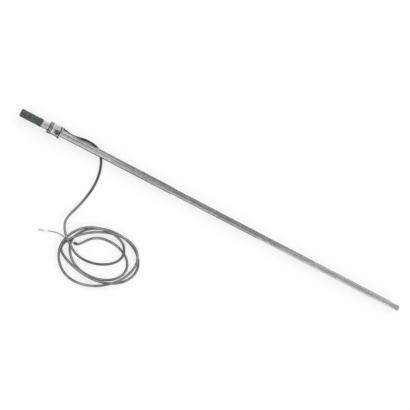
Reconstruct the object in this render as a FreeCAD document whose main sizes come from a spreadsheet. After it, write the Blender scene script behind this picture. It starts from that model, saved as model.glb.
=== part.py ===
import FreeCAD, Part
import math
import os
import Sketcher

# Flame sensor probe. A thin steel stem carries an insulated electrode to the flame, and a clamp head
# near its other end joins the electrode to a loose braided lead. The stem lies along X at axis_height
# above the floor (z = 0), the rubber cap at -X and the flame end at +X. All sizes are millimetres.

SIZES = {
    # stem, from the cap to the flame end
    "overall_length": 580.0,
    "axis_height": 7.8,
    "cap_length": 27.5,
    "cap_diameter": 9.8,
    "cap_bead_diameter": 10.4,
    "cap_bead_length": 4.0,
    "cap_end_wall": 2.5,
    "cap_rounding": 0.8,
    "plug_length": 7.0,
    "plug_rib_height": 0.4,
    "plug_rib_width": 1.6,
    "plug_rib_pitch": 2.4,
    "plug_rib_margin": 0.3,
    "sleeve_diameter": 9.0,
    "sleeve_length": 209.5,
    "stem_diameter": 8.0,
    "stem_wall": 0.7,
    "stem_clearance": 0.02,
    "spigot_length": 16.0,
    "spigot_step": 0.2,
    "tip_reach": 7.4,
    "bush_head_diameter": 7.2,
    "bush_head_length": 6.4,
    "bush_spigot_length": 8.0,
    "bush_rounding": 0.4,
    "insulator_setback": 4.0,
    "insulator_clearance": 0.15,
    "insulator_joint": 0.3,
    "rod_diameter": 3.0,
    "rod_clearance": 0.05,
    "rod_end_rounding": 0.5,
    # clamp head
    "neck_length": 9.8,
    "nut_length": 3.5,
    "nut_wall": 0.8,
    "nut_flats": 14.0,
    "nut_corners": 15.2,
    "nut_chamfer": 0.5,
    "nut_hole_clearance": 0.15,
    "nose_diameter": 11.0,
    "thread_clearance": 0.05,
    "nose_gap": 0.3,
    "nose_chamfer": 0.25,
    "ring_thickness": 1.6,
    "ring_diameter": 13.8,
    "ring_clearance": 0.1,
    "ring_chamfer": 0.3,
    "barrel_length": 9.2,
    "barrel_diameter": 13.6,
    "flange_thickness": 2.0,
    "flange_diameter": 15.6,
    "flange_chamfer": 0.4,
    "clamp_clearance": 0.02,
    "seat_depth": 1.6,
    "seat_widening": 0.7,
    "olive_clearance": 0.05,
    "olive_length": 1.5,
    "groove_width": 1.2,
    "groove_depth": 1.2,
    "lead_drop": 25.0,
    "screw_roll": 25.0,
    # clamp screw
    "screw_setback": 5.3,
    "screw_seat": 6.0,
    "screw_seat_diameter": 6.3,
    "screw_washer_thickness": 0.4,
    "screw_washer_diameter": 6.0,
    "screw_diameter": 3.0,
    "screw_clearance": 0.05,
    "screw_tip_gap": 0.05,
    "screw_head_diameter": 5.5,
    "screw_head_height": 1.8,
    "screw_head_rounding": 0.6,
    "screw_socket": 3.0,
    "screw_socket_depth": 1.2,
    # where the lead comes in
    "lead_diameter": 3.0,
    "lead_gap": 0.2,
    "lead_hole_clearance": 0.05,
    "lead_depth": 5.0,
    "hood_diameter": 4.4,
    "hood_length": 6.0,
    "hood_reach": 1.2,
    "grommet_length": 1.2,
    "grommet_diameter": 4.0,
    "window_width": 2.2,
    "window_length": 5.0,
    "window_headroom": 0.4,
    "core_room": 1.3,
    # splice inside the sleeve
    "core_diameter": 1.3,
    "core_radius": 2.45,
    "core_clearance": 0.05,
    "splice_diameter": 6.8,
    "splice_length": 8.0,
    "splice_setback": 5.0,
    "splice_sleeve_wall": 0.25,
    "splice_sleeve_overhang": 1.0,
    # loose coil and stripped end of the lead
    "coil_centre_x": -127.0,
    "coil_centre_y": -117.5,
    "coil_half_length": 50.0,
    "coil_half_width": 38.5,
    "coil_height": 6.0,
    "coil_rounding": 2.4,
    "eye_centre_x": -130.0,
    "eye_centre_y": -105.0,
    "eye_half_length": 28.0,
    "eye_half_width": 13.0,
    "tail_x": -159.5,
    "tail_y": -111.5,
    "tail_z": 1.8,
    "channel_width": 4.2,
    "jacket_sleeve_length": 3.8,
    "jacket_sleeve_diameter": 3.6,
    "insulation_diameter": 2.0,
    "insulation_length": 8.0,
    "wire_diameter": 1.3,
    "ferrule_x": -198.0,
    "ferrule_y": -112.0,
    "ferrule_z": 1.45,
    "ferrule_heading": 198.0,
    "collar_diameter": 2.9,
    "collar_small_diameter": 2.2,
    "collar_flare": 2.5,
    "collar_length": 6.0,
    "pin_diameter": 1.5,
    "pin_length": 6.5,
    "pin_chamfer": 0.2,
}

# Rolls about the stem's line: up from the +Y side, or down from it, in a body or in a cross section.
LIFTING = FreeCAD.Vector(1, 0, 0)
LOWERING = FreeCAD.Vector(-1, 0, 0)
ABOUT_NORMAL = FreeCAD.Vector(0, 0, -1)

STEM_INSULATORS = 3
PLUG_RIBS = 3
NUT_SIDES = 6

# Stations along the stem, each one worked out from the one before it.
STEM_START = "- overall_length/2 + cap_end_wall"
NUT_START = "- overall_length/2 + cap_length + neck_length"
RING_START = NUT_START + " + nut_length"
BODY_START = NUT_START + " + nut_wall + nose_gap"
BARREL_START = RING_START + " + ring_thickness"
BODY_END = BARREL_START + " + barrel_length + flange_thickness"
HOOD_END = BODY_END + " + hood_reach"
CABLE_END = HOOD_END + " - lead_depth"
TUBE_START = STEM_START + " + sleeve_length - spigot_length"
TUBE_END = "overall_length/2 - tip_reach"
SPLICE_START = NUT_START + " - splice_setback"
SCREW_STATION = BARREL_START + " + screw_setback"

# Distances from the stem's axis.
SPIGOT_RADIUS = "stem_diameter/2 - spigot_step"
SLEEVE_BORE = SPIGOT_RADIUS + " + stem_clearance"
STEM_BORE = "stem_diameter/2 - stem_wall"
CLAMP_BORE = "sleeve_diameter/2 + clamp_clearance"
LEAD_RADIUS = "sleeve_diameter/2 + lead_gap + lead_diameter/2"
HOLE_RADIUS = "lead_diameter/2 + lead_hole_clearance"

# The lead's own route from the clamp head to the coil: corners of a polygon whose bends are arcs.
LEAD_CORNERS = [
    (-232.0, 5.62, 5.18),
    (-226.0, 3.9, 2.0),
    (-217.0, 3.4, 1.5),
    (-200.5, 7.7, 1.5),
    (-186.0, 5.8, 1.5),
    (-173.0, -9.0, 1.5),
    (-169.0, -34.0, 1.5),
    (-175.0, -64.0, 1.5),
    (-188.0, -95.0, 1.5),
    (-174.0, -107.0, 1.5),
]
# The bare core from the stripped end to its ferrule.
WIRE_CORNERS = [
    (-172.5, -111.5, 1.8),
    (-186.5, -107.9, 0.66),
]
BEND_SHARE = 0.45

doc = FreeCAD.newDocument("flame_sensor_probe")
sheet = doc.addObject("Spreadsheet::Sheet", "Sizes")
for row, (alias, number) in enumerate(SIZES.items(), start=1):
    sheet.set("A%d" % row, alias)
    sheet.set("B%d" % row, str(number))
    sheet.setAlias("B%d" % row, alias)
doc.recompute()

parts = []


def measure(text):
    """Number that a sum of sizes stands for, such as 'nut_length - nut_wall' or 'rod_diameter/2'."""
    total = 0.0
    sign = 1.0
    for word in text.split():
        if word in "+-":
            sign = -1.0 if word == "-" else 1.0
            continue
        name, _, share = word.partition("/")
        size = 0.0 if name == "0" else float(sheet.get(name))
        total += sign * size / float(share or 1)
        sign = 1.0
    return total


def formula(text):
    """The same sum as an expression that the document keeps up to date."""
    words = []
    for word in text.split():
        words.append(word if word in "+-" or word == "0" else "Sizes." + word)
    return " ".join(words)


def bind(thing, prop, text):
    """Tie one property to a sum of sizes."""
    thing.setExpression(prop, formula(text))


def plane_of(body, role):
    """The body's own origin plane or axis with this role."""
    return [item for item in body.Origin.OriginFeatures if item.Role == role][0]


def new_body(label, station="0", height="0", roll=None, about=LIFTING):
    """An empty body on the stem's axis line, at a station along X, perhaps rolled about that line."""
    body = doc.addObject("PartDesign::Body", label)
    body.Label = label
    if roll:
        body.Placement.Rotation = FreeCAD.Rotation(about, measure(roll))
        bind(body, "Placement.Rotation.Angle", roll)
    bind(body, "Placement.Base.x", station)
    bind(body, "Placement.Base.z", height)
    parts.append(body)
    return body


def new_sketch(body, name, role, offset=None, roll=None, about=None):
    """A sketch on an origin plane, moved along the plane's normal and perhaps rolled about an axis."""
    sketch = body.newObject("Sketcher::SketchObject", name)
    sketch.AttachmentSupport = (plane_of(body, role), [""])
    sketch.MapMode = "FlatFace"
    if roll:
        turn = FreeCAD.Rotation(about, measure(roll))
        sketch.AttachmentOffset = FreeCAD.Placement(FreeCAD.Vector(0, 0, 0), turn)
        bind(sketch, "AttachmentOffset.Rotation.Angle", roll)
    if offset:
        bind(sketch, "AttachmentOffset.Base.z", offset)
    return sketch


def draw_outline(sketch, points):
    """Closed outline through corners given as pairs of sums, each corner tied to its own sizes."""
    corners = [FreeCAD.Vector(measure(across), measure(up), 0) for across, up in points]
    count = len(corners)
    for index in range(count):
        line = Part.LineSegment(corners[index], corners[(index + 1) % count])
        sketch.addGeometry(line, False)
    for index in range(count):
        following = (index + 1) % count
        sketch.addConstraint(Sketcher.Constraint("Coincident", index, 2, following, 1))
    for index, (across, up) in enumerate(points):
        for kind, text, axis in (("DistanceX", across, -2), ("DistanceY", up, -1)):
            if text == "0":
                sketch.addConstraint(Sketcher.Constraint("PointOnObject", index, 1, axis))
                continue
            rule = Sketcher.Constraint(kind, -1, 1, index, 1, measure(text))
            number = sketch.addConstraint(rule)
            sketch.setExpression("Constraints[%d]" % number, formula(text))


def draw_circle(sketch, across, up, radius):
    """Circle with its centre and radius tied to sizes."""
    centre = FreeCAD.Vector(measure(across), measure(up), 0)
    circle = Part.Circle(centre, FreeCAD.Vector(0, 0, 1), measure(radius))
    index = sketch.addGeometry(circle, False)
    for kind, text, axis in (("DistanceX", across, -2), ("DistanceY", up, -1)):
        if text == "0":
            sketch.addConstraint(Sketcher.Constraint("PointOnObject", index, 3, axis))
            continue
        rule = Sketcher.Constraint(kind, -1, 1, index, 3, measure(text))
        number = sketch.addConstraint(rule)
        sketch.setExpression("Constraints[%d]" % number, formula(text))
    number = sketch.addConstraint(Sketcher.Constraint("Radius", index, measure(radius)))
    sketch.setExpression("Constraints[%d]" % number, formula(radius))


def draw_hexagon(sketch, flats):
    """Regular hexagon about the sketch's origin, by its distance across flats."""
    reach = measure(flats) / 2 / math.cos(math.pi / 6)
    centre = FreeCAD.Vector(0, 0, 0)
    guide = sketch.addGeometry(Part.Circle(centre, FreeCAD.Vector(0, 0, 1), reach), True)
    sketch.addConstraint(Sketcher.Constraint("Coincident", guide, 3, -1, 1))
    number = sketch.addConstraint(Sketcher.Constraint("Radius", guide, reach))
    sketch.setExpression("Constraints[%d]" % number, "%s / 2 / cos(30 deg)" % formula(flats))
    corners = []
    for step in range(6):
        angle = step * math.pi / 3
        corners.append(FreeCAD.Vector(reach * math.cos(angle), reach * math.sin(angle), 0))
    sides = []
    for step in range(6):
        line = Part.LineSegment(corners[step], corners[(step + 1) % 6])
        sides.append(sketch.addGeometry(line, False))
    for step, side in enumerate(sides):
        following = sides[(step + 1) % 6]
        sketch.addConstraint(Sketcher.Constraint("Coincident", side, 2, following, 1))
        sketch.addConstraint(Sketcher.Constraint("PointOnObject", side, 1, guide))
        if step:
            sketch.addConstraint(Sketcher.Constraint("Equal", sides[0], side))
    sketch.addConstraint(Sketcher.Constraint("PointOnObject", sides[0], 1, -1))


def turn_about(body, name, points, upright=False):
    """Revolve an outline about the body's X axis, or about its Z axis when it stands upright."""
    sketch = new_sketch(body, name + "_outline", "XZ_Plane" if upright else "XY_Plane")
    draw_outline(sketch, points)
    turned = body.newObject("PartDesign::Revolution", name)
    turned.Profile = sketch
    turned.ReferenceAxis = (sketch, ["V_Axis" if upright else "H_Axis"])
    turned.Angle = 360
    doc.recompute()
    return turned


def ring_points(length, outer, inner="0"):
    """Outline of a plain tube or rod of one length."""
    return [("0", inner), ("0", outer), (length, outer), (length, inner)]


def cut_through(body, name, sketch, reversed_cut):
    """Pocket from the sketch's plane right through one side of the body; it has to take metal away."""
    before = body.Shape.Volume
    pocket = body.newObject("PartDesign::Pocket", name)
    pocket.Profile = sketch
    pocket.Type = "ThroughAll"
    pocket.Reversed = reversed_cut
    doc.recompute()
    if body.Shape.Volume >= before - 1e-3:
        raise RuntimeError("%s removes nothing" % name)
    return pocket


def edges_where(shape, test):
    """Names of the edges whose every end and middle passes the test."""
    names = []
    for number, edge in enumerate(shape.Edges, start=1):
        middle = edge.valueAt((edge.FirstParameter + edge.LastParameter) / 2)
        points = [middle] + [vertex.Point for vertex in edge.Vertexes]
        if all(test(point) for point in points):
            names.append("Edge%d" % number)
    return names


def round_edges(body, name, feature, radius, test, kind="PartDesign::Fillet"):
    """Fillet or chamfer on the edges that pass the test."""
    dressed = body.newObject(kind, name)
    dressed.Base = (feature, edges_where(feature.Shape, test))
    bind(dressed, "Radius" if kind.endswith("Fillet") else "Size", radius)
    doc.recompute()
    return dressed


def at_rim(along, radius):
    """Test for points of a circle about the X axis, at one distance along it."""
    def test(point):
        reach = math.hypot(point.y, point.z)
        return abs(point.x - measure(along)) < 1e-4 and abs(reach - measure(radius)) < 1e-4
    return test


def end_cap():
    """Rubber cap over the sleeve's end, with a bead round its mouth."""
    body = new_body("end_cap", "- overall_length/2", "axis_height")
    points = [
        ("0", "0"),
        ("0", "cap_diameter/2"),
        ("cap_length - cap_bead_length", "cap_diameter/2"),
        ("cap_length - cap_bead_length/2", "cap_bead_diameter/2"),
        ("cap_length", "cap_bead_diameter/2"),
        ("cap_length", "sleeve_diameter/2"),
        ("cap_end_wall", "sleeve_diameter/2"),
        ("cap_end_wall", "0"),
    ]
    cap = turn_about(body, "cap_shell", points)
    round_edges(body, "cap_nose", cap, "cap_rounding", at_rim("0", "cap_diameter/2"))


def stem():
    """Sealing plug, outer sleeve, inner stem, tip bush and the electrode with its insulators."""
    body = new_body("end_plug", STEM_START, "axis_height")
    groove = SLEEVE_BORE + " - plug_rib_height"
    plug_points = [("0", "0"), ("0", groove)]
    foot = "plug_rib_margin"
    for _ in range(PLUG_RIBS):
        plug_points += [
            (foot, groove),
            (foot + " + plug_rib_width/2", SLEEVE_BORE),
            (foot + " + plug_rib_width", groove),
        ]
        foot += " + plug_rib_pitch"
    plug_points += [("plug_length", groove), ("plug_length", "0")]
    turn_about(body, "plug", plug_points)

    body = new_body("sleeve_tube", STEM_START, "axis_height", "lead_drop", LOWERING)
    turn_about(body, "sleeve", ring_points("sleeve_length", "sleeve_diameter/2", SLEEVE_BORE))
    window = new_sketch(body, "core_window_outline", "XZ_Plane")
    draw_outline(window, window_points(STEM_START))
    cut_through(body, "core_window", window, False)

    stem_length = "overall_length/2 - tip_reach - " + flipped(TUBE_START)
    body = new_body("stem_tube", TUBE_START, "axis_height")
    turn_about(body, "stem", [
        ("0", STEM_BORE),
        ("0", SPIGOT_RADIUS),
        ("spigot_length", SPIGOT_RADIUS),
        ("spigot_length", "stem_diameter/2"),
        (stem_length, "stem_diameter/2"),
        (stem_length, STEM_BORE),
    ])

    body = new_body("tip_bush", TUBE_END + " - bush_spigot_length", "axis_height")
    bore = "rod_diameter/2 + rod_clearance"
    spigot = STEM_BORE + " - stem_clearance"
    bush_points = [
        ("0", bore),
        ("0", spigot),
        ("bush_spigot_length", spigot),
        ("bush_spigot_length", "bush_head_diameter/2"),
        ("bush_spigot_length + bush_head_length", "bush_head_diameter/2"),
        ("bush_spigot_length + bush_head_length", bore),
    ]
    bush = turn_about(body, "bush", bush_points)
    rim = at_rim("bush_spigot_length + bush_head_length", "bush_head_diameter/2")
    round_edges(body, "bush_nose", bush, "bush_rounding", rim)

    rod_length = "overall_length/2 - " + flipped(SPLICE_START)
    body = new_body("electrode_rod", SPLICE_START, "axis_height")
    rod = turn_about(body, "rod", ring_points(rod_length, "rod_diameter/2"))
    round_edges(body, "rod_end", rod, "rod_end_rounding", at_rim(rod_length, "rod_diameter/2"))


def flipped(text):
    """Sum with every sign turned round, to follow a minus sign."""
    swap = {"+": "-", "-": "+"}
    words = [swap.get(word, word) for word in text.split()]
    if words[0] in swap:
        words.insert(0, "0")
    return " ".join(words)


def window_points(start):
    """Corners of the core's window, seen from the side, for a piece that starts at this station."""
    end = CABLE_END + " - " + flipped(start)
    begin = end + " - window_length"
    low = "0 - window_width/2"
    high = "window_width/2"
    return [(begin, low), (end, low), (end, high), (begin, high)]


def insulators():
    """Ceramic tubes threaded on the electrode: a thick one in the sleeve, thinner ones in the stem."""
    bore = "rod_diameter/2 + rod_clearance"
    start = BODY_END + " + insulator_setback"
    length = TUBE_START + " - " + flipped(start) + " - insulator_joint"
    body = new_body("insulator_tube_1", start, "axis_height")
    turn_about(body, "insulator_1", ring_points(length, SLEEVE_BORE + " - insulator_clearance", bore))

    share = "(%s - (%s) - Sizes.bush_spigot_length) / %d" % (
        formula(TUBE_END), formula(TUBE_START), STEM_INSULATORS)
    for index in range(STEM_INSULATORS):
        number = index + 2
        body = new_body("insulator_tube_%d" % number, TUBE_START, "axis_height")
        step = "%s + %d * %s" % (formula(TUBE_START), index, share)
        body.setExpression("Placement.Base.x", step)
        sketch = new_sketch(body, "section_%d" % number, "YZ_Plane")
        draw_circle(sketch, "0", "0", STEM_BORE + " - insulator_clearance")
        draw_circle(sketch, "0", "0", bore)
        pad = body.newObject("PartDesign::Pad", "insulator_%d" % number)
        pad.Profile = sketch
        pad.setExpression("Length", "%s - Sizes.insulator_joint" % share)
        doc.recompute()


def gland_nut():
    """Hexagon nut that squeezes the olive on the sleeve: a round blank with six flats milled on it."""
    body = new_body("gland_nut", NUT_START, "axis_height")
    hole = "sleeve_diameter/2 + nut_hole_clearance"
    thread = "nose_diameter/2 + thread_clearance"
    points = [
        ("0", hole),
        ("0", "nut_flats/2"),
        ("nut_chamfer", "nut_corners/2"),
        ("nut_length", "nut_corners/2"),
        ("nut_length", thread),
        ("nut_wall", thread),
        ("nut_wall", hole),
    ]
    turn_about(body, "nut_blank", points)
    sketch = new_sketch(body, "flat_outline", "YZ_Plane")
    side = "nut_corners/2"
    draw_outline(sketch, [
        ("nut_flats/2", "0 - nut_corners/2"),
        ("nut_corners", "0 - nut_corners/2"),
        ("nut_corners", side),
        ("nut_flats/2", side),
    ])
    flat = cut_through(body, "nut_flat", sketch, True)
    pattern = body.newObject("PartDesign::PolarPattern", "nut_flats")
    pattern.Originals = [flat]
    pattern.Axis = (plane_of(body, "X_Axis"), [""])
    pattern.Angle = 360
    pattern.Occurrences = NUT_SIDES
    body.Tip = pattern
    doc.recompute()


def clamp_rings():
    """Brass olive in the nose's cone, and the bright ring between nut and clamp body."""
    body = new_body("olive_ring", NUT_START + " + nut_wall", "axis_height")
    wide = CLAMP_BORE + " + seat_widening - olive_clearance"
    points = [
        ("0", CLAMP_BORE),
        ("0", wide),
        ("nose_gap", wide),
        ("olive_length", "sleeve_diameter/2 + clamp_clearance + seat_widening/4"),
        ("olive_length", CLAMP_BORE),
    ]
    turn_about(body, "olive", points)

    body = new_body("thrust_ring", RING_START, "axis_height")
    inner = "nose_diameter/2 + ring_clearance"
    ring = turn_about(body, "ring", ring_points("ring_thickness", "ring_diameter/2", inner))
    rims = at_rim("0", "ring_diameter/2")
    round_edges(body, "ring_edge", ring, "ring_chamfer", rims, "PartDesign::Chamfer")


def clamp_body():
    """Turned clamp body: threaded nose with a cone, barrel, rear flange and the hood for the lead."""
    body = new_body("clamp_body", BODY_START, "axis_height", "screw_roll")
    nose = "nut_length + ring_thickness - nut_wall - nose_gap"
    barrel = nose + " + barrel_length"
    end = barrel + " + flange_thickness"
    points = [
        ("0", CLAMP_BORE + " + seat_widening"),
        ("0", "nose_diameter/2 - nose_chamfer"),
        ("nose_chamfer", "nose_diameter/2"),
        (nose, "nose_diameter/2"),
        (nose, "barrel_diameter/2"),
        (barrel + " - groove_width", "barrel_diameter/2"),
        (barrel + " - groove_width", "barrel_diameter/2 - groove_depth"),
        (barrel, "barrel_diameter/2 - groove_depth"),
        (barrel, "flange_diameter/2"),
        (end, "flange_diameter/2"),
        (end, CLAMP_BORE),
        ("seat_depth", CLAMP_BORE),
    ]
    turned = turn_about(body, "turned_body", points)
    rims = at_rim(end, "flange_diameter/2")
    round_edges(body, "flange_edge", turned, "flange_chamfer", rims, "PartDesign::Chamfer")

    to_lead = "screw_roll + lead_drop"
    hood_start = end + " + hood_reach - hood_length"
    hood = new_sketch(body, "hood_outline", "YZ_Plane", hood_start, to_lead, ABOUT_NORMAL)
    draw_circle(hood, LEAD_RADIUS, "0", "hood_diameter/2")
    pad = body.newObject("PartDesign::Pad", "hood")
    pad.Profile = hood
    bind(pad, "Length", "hood_length")
    doc.recompute()

    bore = new_sketch(body, "bore_outline", "YZ_Plane", "seat_depth")
    draw_circle(bore, "0", "0", CLAMP_BORE)
    cut_through(body, "bore_through_hood", bore, True)

    depth = end + " + hood_reach - lead_depth - core_room"
    lead = new_sketch(body, "lead_hole_outline", "YZ_Plane", depth, to_lead, ABOUT_NORMAL)
    draw_circle(lead, LEAD_RADIUS, "0", HOLE_RADIUS)
    cut_through(body, "lead_hole", lead, True)

    window = new_sketch(body, "window_outline", "XZ_Plane", None, to_lead, LOWERING)
    draw_outline(window, window_points(BODY_START))
    before = body.Shape.Volume
    pocket = body.newObject("PartDesign::Pocket", "window")
    pocket.Profile = window
    bind(pocket, "Length", LEAD_RADIUS + " + window_headroom")
    doc.recompute()
    if body.Shape.Volume >= before:
        raise RuntimeError("window removes nothing")

    along = SCREW_STATION + " - " + flipped(BODY_START)
    seat = new_sketch(body, "screw_seat_outline", "XY_Plane", "screw_seat")
    draw_circle(seat, along, "0", "screw_seat_diameter/2")
    cut_through(body, "screw_spot_face", seat, True)
    hole = new_sketch(body, "screw_hole_outline", "XY_Plane")
    draw_circle(hole, along, "0", "screw_diameter/2 + screw_clearance")
    cut_through(body, "screw_hole", hole, True)


def clamp_screw():
    """Button-head screw that locks the clamp body on the sleeve, and its washer."""
    base = "screw_seat + screw_washer_thickness"
    top = base + " + screw_head_height"
    body = new_body("screw_washer", SCREW_STATION, "axis_height", "screw_roll")
    inner = "screw_diameter/2 + screw_clearance"
    outer = "screw_washer_diameter/2"
    points = [(inner, "screw_seat"), (outer, "screw_seat"), (outer, base), (inner, base)]
    turn_about(body, "flat_washer", points, upright=True)

    body = new_body("clamp_screw", SCREW_STATION, "axis_height", "screw_roll")
    tip = "sleeve_diameter/2 + screw_tip_gap"
    points = [
        ("0", tip),
        ("screw_diameter/2", tip),
        ("screw_diameter/2", base),
        ("screw_head_diameter/2", base),
        ("screw_head_diameter/2", top),
        ("0", top),
    ]
    screw = turn_about(body, "screw", points, upright=True)

    def head_rim(point):
        reach = math.hypot(point.x, point.y)
        on_top = abs(point.z - measure(top)) < 1e-4
        return on_top and abs(reach - measure("screw_head_diameter/2")) < 1e-4

    round_edges(body, "screw_crown", screw, "screw_head_rounding", head_rim)
    socket = new_sketch(body, "socket_outline", "XY_Plane", top + " - screw_socket_depth")
    draw_hexagon(socket, "screw_socket")
    cut_through(body, "socket", socket, True)


def lead_entry():
    """Grommet in the hood's mouth, shaped to clear the sleeve."""
    body = new_body("cable_grommet", HOOD_END, "axis_height", "lead_drop", LOWERING)
    section = new_sketch(body, "grommet_section", "YZ_Plane")
    draw_circle(section, LEAD_RADIUS, "0", "grommet_diameter/2")
    pad = body.newObject("PartDesign::Pad", "grommet")
    pad.Profile = section
    bind(pad, "Length", "grommet_length")
    doc.recompute()
    lead = new_sketch(body, "grommet_bore", "YZ_Plane")
    draw_circle(lead, LEAD_RADIUS, "0", HOLE_RADIUS)
    cut_through(body, "grommet_hole", lead, True)
    sleeve = new_sketch(body, "grommet_sleeve_side", "YZ_Plane")
    draw_circle(sleeve, "0", "0", CLAMP_BORE)
    cut_through(body, "grommet_saddle", sleeve, True)


def splice():
    """Crimp barrel that holds rod and core side by side, and the shrink sleeve over it."""
    body = new_body("splice_barrel", SPLICE_START, "axis_height", "lead_drop", LOWERING)
    section = new_sketch(body, "barrel_section", "YZ_Plane")
    draw_circle(section, "0", "0", "splice_diameter/2")
    pad = body.newObject("PartDesign::Pad", "crimp")
    pad.Profile = section
    bind(pad, "Length", "splice_length")
    doc.recompute()
    rod = new_sketch(body, "rod_hole_outline", "YZ_Plane")
    draw_circle(rod, "0", "0", "rod_diameter/2 + rod_clearance")
    cut_through(body, "rod_hole", rod, True)
    core = new_sketch(body, "core_hole_outline", "YZ_Plane")
    draw_circle(core, "core_radius", "0", "core_diameter/2 + core_clearance")
    cut_through(body, "core_hole", core, True)

    body = new_body("splice_sleeve", SPLICE_START + " - splice_sleeve_overhang", "axis_height")
    long = "splice_length + splice_sleeve_overhang + splice_sleeve_overhang"
    turn_about(body, "shrink", ring_points(
        long, "splice_diameter/2 + splice_sleeve_wall", "splice_diameter/2"))


def bent_path(corners):
    """Wire through the corners' polygon with every corner rounded by a tangent arc."""
    edges = []
    start = corners[0]
    for before, corner, after in zip(corners, corners[1:], corners[2:]):
        back = before - corner
        ahead = after - corner
        half_turn = (math.pi - back.getAngle(ahead)) / 2
        trim = BEND_SHARE * min(back.Length, ahead.Length)
        back.normalize()
        ahead.normalize()
        first = corner + back * trim
        last = corner + ahead * trim
        inward = back + ahead
        inward.normalize()
        radius = trim / math.tan(half_turn)
        middle = corner + inward * (radius / math.cos(half_turn) - radius)
        edges.append(Part.LineSegment(start, first).toShape())
        edges.append(Part.Arc(first, middle, last).toShape())
        start = last
    edges.append(Part.LineSegment(start, corners[-1]).toShape())
    return Part.Wire(edges)


def add_run(label, corners, diameter):
    """Round cord or wire along a bent path."""
    path = bent_path(corners)
    start = corners[0]
    heading = corners[1] - corners[0]
    ring = Part.Wire([Part.Circle(start, heading, measure(diameter) / 2).toShape()])
    run = doc.addObject("Part::Feature", label)
    run.Label = label
    run.Shape = path.makePipeShell([ring], True, False)
    parts.append(run)
    section = math.pi * (measure(diameter) / 2) ** 2
    print(label, "length %.1f" % path.Length, "volume share %.3f"
          % (run.Shape.Volume / (section * path.Length)))


def on_head(along, radius):
    """Point of the clamp head at a station and a distance from the axis, on the lead's side."""
    drop = math.radians(measure("lead_drop"))
    across = radius * math.cos(drop)
    height = measure("axis_height") - radius * math.sin(drop)
    return FreeCAD.Vector(along, across, height)


def lead():
    """Core inside the head, the lead down to the coil, and the bare core at the far end."""
    cable_end = measure(CABLE_END)
    outer = measure(LEAD_RADIUS)
    inner = measure("core_radius")
    window = measure("window_length")
    core_corners = [
        on_head(cable_end, outer),
        on_head(cable_end - measure("core_diameter/2"), outer),
        on_head(cable_end - window, inner),
        on_head(measure(SPLICE_START + " + splice_length/2"), inner),
    ]
    add_run("lead_core", core_corners, "core_diameter")
    lead_corners = [on_head(cable_end, outer)]
    lead_corners += [FreeCAD.Vector(*corner) for corner in LEAD_CORNERS]
    add_run("lead_cable", lead_corners, "lead_diameter")
    heading = math.radians(measure("ferrule_heading"))
    depth = measure("collar_length/3")
    seat = FreeCAD.Vector(
        measure("ferrule_x") + depth * math.cos(heading),
        measure("ferrule_y") + depth * math.sin(heading),
        measure("ferrule_z"))
    tail = FreeCAD.Vector(measure("tail_x"), measure("tail_y"), measure("tail_z"))
    wire_corners = [tail] + [FreeCAD.Vector(*corner) for corner in WIRE_CORNERS] + [seat]
    add_run("core_wire", wire_corners, "wire_diameter")


def oval_block(name, centre, half_length, half_width):
    """Upright oval block on the floor, as tall as the coil."""
    oval = doc.addObject("Part::Ellipse", name + "_oval")
    bind(oval, "MajorRadius", half_length)
    bind(oval, "MinorRadius", half_width)
    bind(oval, "Placement.Base.x", centre + "_x")
    bind(oval, "Placement.Base.y", centre + "_y")
    block = doc.addObject("Part::Extrusion", name)
    block.Base = oval
    block.DirMode = "Custom"
    block.Dir = FreeCAD.Vector(0, 0, 1)
    block.Solid = True
    bind(block, "LengthFwd", "coil_height")
    return block


def lead_coil():
    """Outer shape of the loose turns: a flat oval ring with a channel for the stripped end."""
    outside = oval_block("coil_outside", "coil_centre", "coil_half_length", "coil_half_width")
    doc.recompute()
    rounded = doc.addObject("Part::Fillet", "coil_rounded")
    rounded.Base = outside
    radius = measure("coil_rounding")
    rims = []
    for number, edge in enumerate(outside.Shape.Edges, start=1):
        if isinstance(edge.Curve, Part.Ellipse):
            rims.append((number, radius, radius))
    rounded.Edges = rims
    eye = oval_block("coil_eye", "eye_centre", "eye_half_length", "eye_half_width")
    opened = doc.addObject("Part::Cut", "coil_opened")
    opened.Base = rounded
    opened.Tool = eye
    channel = doc.addObject("Part::Box", "coil_channel")
    bind(channel, "Length", "coil_half_length")
    bind(channel, "Width", "channel_width")
    bind(channel, "Height", "coil_height")
    bind(channel, "Placement.Base.x", "tail_x - coil_half_length")
    bind(channel, "Placement.Base.y", "tail_y - channel_width/2")
    coil = doc.addObject("Part::Cut", "lead_coil")
    coil.Label = "lead_coil"
    coil.Base = opened
    coil.Tool = channel
    parts.append(coil)
    doc.recompute()


def stripped_end():
    """Dark sleeve on the jacket's end, the core's white insulation, and the wire-end ferrule."""
    body = new_body("jacket_sleeve", "tail_x - jacket_sleeve_length", "tail_z")
    bind(body, "Placement.Base.y", "tail_y")
    turn_about(body, "shrink_end", ring_points(
        "jacket_sleeve_length", "jacket_sleeve_diameter/2", "insulation_diameter/2"))

    body = new_body("core_insulation", "tail_x - insulation_length", "tail_z")
    bind(body, "Placement.Base.y", "tail_y")
    turn_about(body, "insulation", ring_points(
        "insulation_length", "insulation_diameter/2", "wire_diameter/2"))

    body = new_body("ferrule_collar", "ferrule_x", "ferrule_z")
    place_ferrule(body)
    points = [
        ("0", "wire_diameter/2 + core_clearance"),
        ("0", "collar_diameter/2"),
        ("collar_flare", "collar_small_diameter/2"),
        ("collar_length", "collar_small_diameter/2"),
        ("collar_length", "wire_diameter/2 + core_clearance"),
    ]
    turn_about(body, "collar", points)

    body = new_body("ferrule_pin", "ferrule_x", "ferrule_z")
    place_ferrule(body)
    end = "collar_length + pin_length"
    points = [
        ("collar_length", "0"),
        ("collar_length", "pin_diameter/2"),
        (end + " - pin_chamfer", "pin_diameter/2"),
        (end, "pin_diameter/2 - pin_chamfer"),
        (end, "0"),
    ]
    turn_about(body, "pin", points)


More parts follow.
